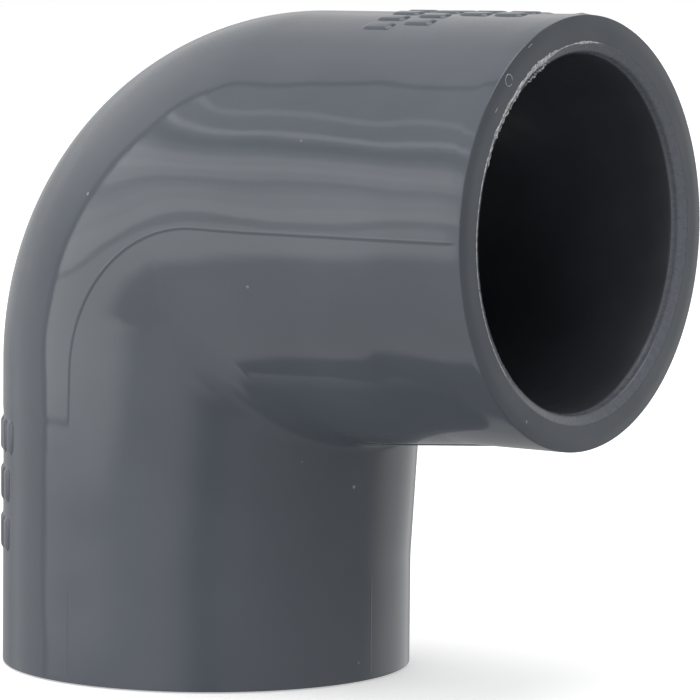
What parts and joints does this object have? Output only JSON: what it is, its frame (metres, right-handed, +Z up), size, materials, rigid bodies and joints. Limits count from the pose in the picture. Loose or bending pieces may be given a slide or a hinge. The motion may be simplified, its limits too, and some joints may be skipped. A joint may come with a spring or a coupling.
{
  "type": "pvc elbow fitting",
  "caption": "Right-angle socket elbow for pressure pipe: heavy-walled grey plastic with a short round bend, a sharp throat and a glue socket at each end.",
  "frame": {"origin": "centre of the lower socket's mouth, in the plane of its rim", "axes": "+Z up the lower socket's axis, +X along the side socket's axis and out of its mouth, Y across the part"},
  "size_m": [0.094, 0.059, 0.094],
  "materials": {
    "pvc": "glossy moulded dark grey PVC, slightly wavy, with fine mould lines"
  },
  "bodies": {
    "root": {"elbow_body": "pvc"}
  },
  "joints": []
}
